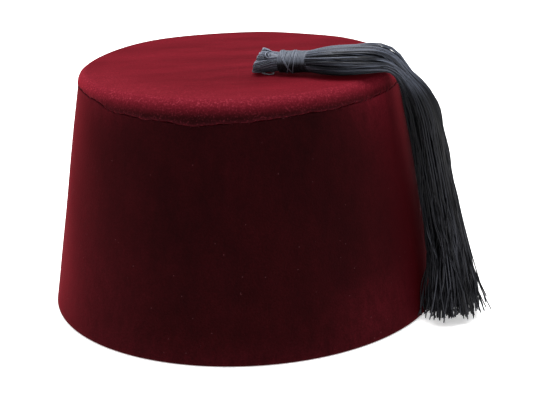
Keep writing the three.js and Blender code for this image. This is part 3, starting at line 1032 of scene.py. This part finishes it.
def pile_patterns(tree, place, nap_stretch):
    """The strokes in the nap, plain and as faint marks, all the marks together, and the pile's tips."""
    stretched = add_node(tree, "Mapping", {"Vector": place}, {"Scale": nap_stretch})
    nap = add_node(tree, "TexNoise", {"Vector": stretched},
                   {"Scale": 1 / (NAP_SIZE * MM), "Detail": 4.0, "Roughness": 0.55})
    strokes = add_node(tree, "TexNoise", {"Vector": stretched},
                       {"Scale": 1 / (STROKE_SIZE * MM), "Detail": 4.0, "Roughness": 0.65, "Distortion": 0.4})
    pile = add_node(tree, "TexNoise", {"Vector": place},
                    {"Scale": 1 / (PILE_SIZE * MM), "Detail": 2.0, "Roughness": 0.7})
    slow = add_node(tree, "MapRange", {"Value": nap},
                    {"From Min": 0.32, "From Max": 0.72, "To Min": 0.0, "To Max": 0.7})
    quick = add_node(tree, "MapRange", {"Value": strokes},
                     {"From Min": 0.3, "From Max": 0.75, "To Min": 0.0, "To Max": 0.45})
    marks = add_node(tree, "Math", {0: slow, 1: quick}, operation="ADD")
    return strokes, quick, marks, pile


def pile_bump(tree, facing, pile):
    """Relief of the tips, on a face that leans to the front beside the tassel: a painted shadow, as the leaning
    face loses its sheen there.
    """
    tassel_shadow_share = add_node(tree, "Attribute", attribute_name="tassel_shade", output="Fac")
    lean = add_node(tree, "VectorMath", {"Scale": tassel_shadow_share}, {0: (0.0, -0.9, 0.0)}, operation="SCALE")
    leaning = add_node(tree, "VectorMath", {0: facing, 1: lean}, operation="ADD")
    steady = add_node(tree, "VectorMath", {0: leaning}, operation="NORMALIZE")
    return add_node(tree, "Bump", {"Height": pile, "Normal": steady}, {"Strength": 0.35, "Distance": 0.25 * MM})


print("nap marks:", NAP_SIZE, "mm, strokes:", STROKE_SIZE, "mm, tips:", PILE_SIZE, "mm")


# %% Velvet: the side's colour, and the top's colour painted lighter as lit from above
def upright_pile(tree, marks, strokes, handled):
    """Nearly black, and redder where the brushed attribute is high."""
    stood = add_node(tree, "Mix", {0: marks}, {FIRST: linear("140304"), SECOND: linear("230507")},
                     data_type="RGBA")
    worn = add_node(tree, "Math", {0: strokes}, {1: 1.6, 2: 0.1}, operation="MULTIPLY_ADD")
    laid = add_node(tree, "Math", {0: worn, 1: handled}, operation="MULTIPLY")
    return add_node(tree, "Mix", {0: laid, FIRST: stood}, {SECOND: linear("5c141e")}, data_type="RGBA")


def lit_top_pile(tree, marks, facing, handled):
    """Painted light of the top piece: redder all over as lit from above, and a painted highlight where the
    cloth rolls over the edge. Returns the colour and the roll.
    """
    flat = add_node(tree, "Mix", {0: marks}, {FIRST: linear("3a060d"), SECOND: linear("570f19")},
                    data_type="RGBA")
    # Painted highlight: the colour lightens as the face tilts away from straight up over the roll of the edge,
    # and where the brushed attribute is high.
    upward = add_node(tree, "SeparateXYZ", {0: facing}, output="Z")
    tilted = add_node(tree, "Math", {1: upward}, {0: 1.0}, operation="SUBTRACT")
    angled = add_node(tree, "Math", {0: tilted}, operation="SQRT")
    rolled = add_node(tree, "Math", {0: angled, 2: handled}, {1: 2.4}, operation="MULTIPLY_ADD",
                      use_clamp=True)
    glow = add_node(tree, "Mix", {0: rolled, FIRST: flat}, {SECOND: linear("60141f")}, data_type="RGBA")
    return glow, rolled


print("colours of the pile ready")


# %% Velvet: tips of the pile and lint
LINT_SPACING = 3.6  # mm


def pale_tips(tree, colour, pile, glowing, most):
    """Light and dark tips all over, and pale tips, a painted highlight, where the roll highlight and the
    brushed marks are, up to a share of them.
    """
    tips = add_node(tree, "MapRange", {"Value": pile},
                    {"From Min": 0.3, "From Max": 0.7, "To Min": 0.72, "To Max": 1.28})
    shaded = add_node(tree, "Mix", {FIRST: colour, SECOND: tips}, {0: 1.0}, data_type="RGBA",
                      blend_type="MULTIPLY")
    tip_highlight = add_node(tree, "MapRange", {"Value": pile},
                     {"From Min": 0.56, "From Max": 0.68, "To Min": 0.0, "To Max": most})
    tip_highlight_share = add_node(tree, "Math", {0: tip_highlight, 1: glowing}, operation="MULTIPLY")
    return add_node(tree, "Mix", {0: tip_highlight_share, FIRST: shaded}, {SECOND: linear("963a48")}, data_type="RGBA")


def linty(tree, colour, place, share):
    """Pale specks of lint in a share of the cells."""
    middle = add_node(tree, "TexVoronoi", {"Vector": place}, {"Scale": 1 / (LINT_SPACING * MM)},
                      output="Distance")
    speck = add_node(tree, "MapRange", {"Value": middle},
                     {"From Min": 0.03, "From Max": 0.065, "To Min": 0.45, "To Max": 0.0})
    chance = add_node(tree, "SeparateColor", {0: middle.node.outputs["Color"]})
    kept = add_node(tree, "Math", {0: chance}, {1: share}, operation="LESS_THAN")
    lint = add_node(tree, "Math", {0: speck, 1: kept}, operation="MULTIPLY")
    return add_node(tree, "Mix", {0: lint, FIRST: colour}, {SECOND: linear("85545a")}, data_type="RGBA")


print("lint cells:", LINT_SPACING, "mm")


# %% Velvet: the whole cloth
SHEEN_TINT = linear("b80e2a")
BAND_LOW, BAND_HIGH = 8.2, 0.8  # mm below the flat top, between which the side's dark colour turns to the top's painted lit colour


def velvet(name, nap_stretch, lint_share, is_lit_top, sheen):
    """Velvet with a sheen. is_lit_top is 1 for the top piece, whose colour is painted lighter as lit from
    above, and 0 for the side.
    """
    material, tree, shader = new_material(name, {
        "Roughness": 0.95, "Specular IOR Level": 0.03 + 0.01 * is_lit_top, "Sheen Weight": sheen,
        "Sheen Roughness": 0.42, "Sheen Tint": SHEEN_TINT})
    place = add_node(tree, "TexCoord", output="Object")
    facing = add_node(tree, "NewGeometry", output="Normal")
    handled = add_node(tree, "Attribute", attribute_name="brushed", output="Fac")
    ridge = add_node(tree, "Attribute", attribute_name="ridge", output="Fac")
    strokes, quick, marks, pile = pile_patterns(tree, place, nap_stretch)

    upright = upright_pile(tree, marks, strokes, handled)
    glow, rolled = lit_top_pile(tree, marks, facing, handled)
    level = add_node(tree, "SeparateXYZ", {0: place}, output="Z")
    # Painted light: the top piece takes its lit colour near the flat top and turns to the dark side colour down
    # towards the seam.
    painted_lit_band = add_node(tree, "MapRange", {"Value": level}, {
        "From Min": (HEIGHT - BAND_LOW) * MM, "From Max": (HEIGHT - BAND_HIGH) * MM,
        "To Min": 0.0, "To Max": float(is_lit_top)}, interpolation_type="SMOOTHSTEP")
    cloth = add_node(tree, "Mix", {0: painted_lit_band, FIRST: upright, SECOND: glow}, data_type="RGBA")
    # Painted highlight along the folded lip above the seam, broken up by the strokes.
    edge = add_node(tree, "Math", {0: ridge, 1: strokes}, operation="MULTIPLY")
    edged = add_node(tree, "Mix", {0: edge, FIRST: cloth}, {SECOND: linear("3a0d14")}, data_type="RGBA")
    # Painted highlight: pale pile tips follow the roll highlight and the brushed marks, on the top piece only.
    stroked = add_node(tree, "Math", {0: handled, 2: quick}, {1: 1.1}, operation="MULTIPLY_ADD")
    glowing = add_node(tree, "Math", {0: rolled, 1: stroked}, operation="MULTIPLY", use_clamp=True)
    tipped = pale_tips(tree, edged, pile, glowing, 0.65 * is_lit_top)
    tree.links.new(linty(tree, tipped, place, lint_share), shader["Base Color"])
    tree.links.new(pile_bump(tree, facing, pile), shader["Normal"])
    return material


# The top piece is a lit copy of the side's velvet: its colour is painted lighter as lit from above.
side_velvet = velvet("burgundy cotton velvet, upright pile", (1.0, 1.0, 0.45), 0.45, 0, 0.35)
top_velvet = velvet("burgundy cotton velvet, top painted lit from above", (0.35, 1.6, 1.0), 0.35, 1, 0.44)
crown_side.data.materials.append(side_velvet)
crown_top.data.materials.append(top_velvet)
print("velvets:", side_velvet.name, "and", top_velvet.name)

# %% [markdown]
# ## Wool felt inside and cotton thread in the seam
# Both are plain dyed fibres, so both are a fine grain between two close reds: felt with short curly hairs,
# spun thread a little smoother than the pile, so that the stitches show as fine ticks.

# %% Felt and stitch thread
def grained(name, dark, light, grain, values):
    """A material with a grain between two colours. grain is the noise's input values."""
    material, tree, shader = new_material(name, values)
    place = add_node(tree, "TexCoord", output="Object")
    pattern = add_node(tree, "TexNoise", {"Vector": place}, grain)
    mixed = add_node(tree, "Mix", {0: pattern}, {FIRST: linear(dark), SECOND: linear(light)},
                     data_type="RGBA")
    tree.links.new(mixed, shader["Base Color"])
    return material, tree, shader, pattern


def give_inside(piece, material, is_inside):
    """Gives the faces that only the inside of the hat shows a second material."""
    piece.data.materials.append(material)
    for face in piece.data.polygons:
        x, y, z = face.center / MM
        if is_inside(math.hypot(x, y), z, face.normal):
            face.material_index = 1


wool_felt, tree, shader, fibre = grained(
    "red wool felt, stiffened", "3c0c12", "6a1f27",
    {"Scale": 1 / (1.5 * MM), "Detail": 6.0, "Roughness": 0.7, "Distortion": 1.5},
    {"Roughness": 0.95, "Specular IOR Level": 0.1})
felt_bump = add_node(tree, "Bump", {"Height": fibre}, {"Strength": 0.4, "Distance": 0.3 * MM})
tree.links.new(felt_bump, shader["Normal"])
give_inside(crown_side, wool_felt, lambda radius, z, normal: radius < side_radius(z) - 1.7 and z > 2.0)
give_inside(crown_top, wool_felt,
            lambda radius, z, normal: radius < 73 and normal.z < -0.5 and z < HEIGHT - 1.2)

stitch_thread = grained("burgundy cotton thread, spun", "1e0408", "360a10",
                        {"Scale": 1 / (0.5 * MM), "Detail": 2.0},
                        {"Roughness": 0.9, "Specular IOR Level": 0.08})[0]
seam_stitches.data.materials.append(stitch_thread)
print("inside:", wool_felt.name, "- seam:", stitch_thread.name)

# %% [markdown]
# ## Viscose rayon, twisted, dyed black
# Rayon thread is smooth and lustrous: a narrow soft highlight runs along each strand. The dye is a black
# with a trace of blue, and single strands differ a little, which is what the tone attribute carries, with a
# painted shade on the skirt's inner and far strands. What lies on the top is painted lighter as lit from above,
# and the strands turn lighter towards the table.

# %% Rayon strands
TWIST_SIZE = 1.2  # mm, coarser than the real ply so that it still shows
TOP_LIGHT_HEIGHTS, SPREAD = (101.0, 118.0), (85, 15)  # mm of height over which strands are painted lighter as lit from above, or turn lighter towards the table


def rayon(name, dark, light, top_light_colour, roughness, light_heights=TOP_LIGHT_HEIGHTS, lit_share_floor=0.0, ends=None):
    """Dark and light strands, painted lighter on the top as lit from above, and another light colour towards
    the table.
    """
    material, tree, shader = new_material(name, {"IOR": 1.52, "Specular IOR Level": 0.14})
    tone = add_node(tree, "Attribute", attribute_name="tone", output="Fac")
    place = add_node(tree, "TexCoord", output="Object")
    level = add_node(tree, "SeparateXYZ", {0: place}, output="Z")
    twist = add_node(tree, "TexNoise", {"Vector": place},
                     {"Scale": 1 / (TWIST_SIZE * MM), "Detail": 2.0})
    uneven = add_node(tree, "Math", {0: tone}, {1: 1.7}, operation="POWER")
    mixed = add_node(tree, "Math", {0: twist, 2: uneven}, {1: 0.2}, operation="MULTIPLY_ADD")
    at_table = add_node(tree, "MapRange", {"Value": level},
                        {"From Min": SPREAD[0] * MM, "From Max": SPREAD[1] * MM},
                        interpolation_type="SMOOTHSTEP")
    lighter = add_node(tree, "Mix", {0: at_table},
                       {FIRST: linear(light), SECOND: linear(ends or light)}, data_type="RGBA")
    colour = add_node(tree, "Mix", {0: mixed, SECOND: lighter}, {FIRST: linear(dark)}, data_type="RGBA")
    # Painted light: above these heights strands take the lighter colour, as lit from above; lit_share_floor
    # keeps a share of it on every strand.
    top_light_ramp = add_node(tree, "MapRange", {"Value": level},
                      {"From Min": light_heights[0] * MM, "From Max": light_heights[1] * MM}, interpolation_type="SMOOTHSTEP")
    lit_share = add_node(tree, "Math", {0: mixed}, {1: 1.0 - lit_share_floor, 2: lit_share_floor},
                      operation="MULTIPLY_ADD", use_clamp=True)
    painted_top_light = add_node(tree, "Math", {0: top_light_ramp, 1: lit_share}, operation="MULTIPLY")
    top_lit_colour = add_node(tree, "Mix", {0: painted_top_light, FIRST: colour}, {SECOND: linear(top_light_colour)}, data_type="RGBA")
    rough = add_node(tree, "MapRange", {"Value": tone},
                     {"To Min": roughness - 0.04, "To Max": roughness + 0.1})
    bump = add_node(tree, "Bump", {"Height": twist}, {"Strength": 0.3, "Distance": 0.08 * MM})
    tree.links.new(top_lit_colour, shader["Base Color"])
    tree.links.new(rough, shader["Roughness"])
    tree.links.new(bump, shader["Normal"])
    return material


# The skirt, the head and the binding are painted lighter above their heights as lit from above, so the
# binding's lower half stays dark; the tying thread lies above its heights along its whole length.
strand_rayon = rayon("black viscose rayon, twisted", "040406", "1f2025", "5a5f6c", 0.34, ends="3b3c42")
folded_rayon = rayon("black viscose rayon, lighter at the head", "14161a", "454a56", "8a90a0", 0.42,
                     (112.0, 118.0), 0.08)
wound_rayon = rayon("black viscose rayon, wound", "0a0b0d", "5a5e68", "676c78", 0.42, (118.9, 121.2), 0.7)
tying_rayon = rayon("grey viscose rayon, tying thread", "30333a", "6a6e78", "8a8d96", 0.4, (110.0, 114.0))
binding.data.materials.clear()
for piece, material in ((skirt_inner, strand_rayon), (skirt_outer, strand_rayon), (head_loops, folded_rayon),
                        (binding, wound_rayon), (tying_end, tying_rayon)):
    piece.data.materials.append(material)
print("strand tones:", round(float(tones.min()), 2), "to", round(float(tones.max()), 2))

# %% [markdown]
# ## Table and light
# A plain pale light table and large soft lights: one broad panel overhead lights the flat top, the table's own
# faint glow keeps the shadow under the hat soft, and two weak tall panels at the left and the right make
# the pile glow towards the outline. The backdrop is white down at the table and fades to grey overhead.

# %% Table
TABLE_SIDE = 6.0
WHITE = (1.0, 1.0, 1.0, 1.0)

clear_selection()
bpy.ops.mesh.primitive_plane_add(size=1.0, location=(0, 0, 0))
table_top = bpy.context.object
table_top.name = "table"
edit_all(table_top)
bpy.ops.transform.resize(value=(TABLE_SIDE, TABLE_SIDE, 1.0))
leave_edit()
opal_acrylic = grained("opal acrylic light table", "f3f3f4", "f6f6f6", {"Scale": 1 / (300 * MM)},
                       {"Roughness": 0.8, "Specular IOR Level": 0.2, "Emission Color": WHITE,
                        "Emission Strength": 0.45})[0]
table_top.data.materials.append(opal_acrylic)
print("table:", TABLE_SIDE, "m wide")

# %% Lights
def panel(name, place, aim, width, height, power):
    """A large soft light, its place and aim in metres and its power in watts."""
    data = bpy.data.lights.new(name, "AREA")
    data.shape = "RECTANGLE"
    data.size, data.size_y, data.energy = width, height, power
    lamp = bpy.data.objects.new(name, data)
    bpy.context.scene.collection.objects.link(lamp)
    lamp.location = place
    lamp.rotation_mode = "QUATERNION"
    lamp.rotation_quaternion = (Vector(aim) - Vector(place)).to_track_quat("-Z", "Y")


panel("overhead_panel", (0.0, 0.16, 1.35), (0.0, 0.14, 0.0), 1.1, 0.9, 37.0)
panel("left_panel", (-1.2, 0.45, 0.55), (0.0, 0.0, 0.07), 0.6, 0.9, 1.0)
panel("right_panel", (1.2, -0.45, 0.45), (0.0, 0.0, 0.07), 0.6, 0.9, 1.15)

# %% Backdrop
world = bpy.data.worlds.new("studio")
world.use_nodes = True
tree = world.node_tree
backdrop = tree.nodes["Background"].inputs
backdrop["Color"].default_value = WHITE
toward = add_node(tree, "TexCoord", output="Object")
upward = add_node(tree, "SeparateXYZ", {0: toward}, output="Z")
fade = add_node(tree, "MapRange", {"Value": upward},
                {"From Min": 0.12, "From Max": 0.45, "To Min": 0.85, "To Max": 0.32},
                interpolation_type="SMOOTHSTEP")
tree.links.new(fade, backdrop["Strength"])
bpy.context.scene.world = world
bpy.context.scene.view_settings.view_transform = "Standard"
print("backdrop:", world.name, "seen as", bpy.context.scene.view_settings.view_transform)
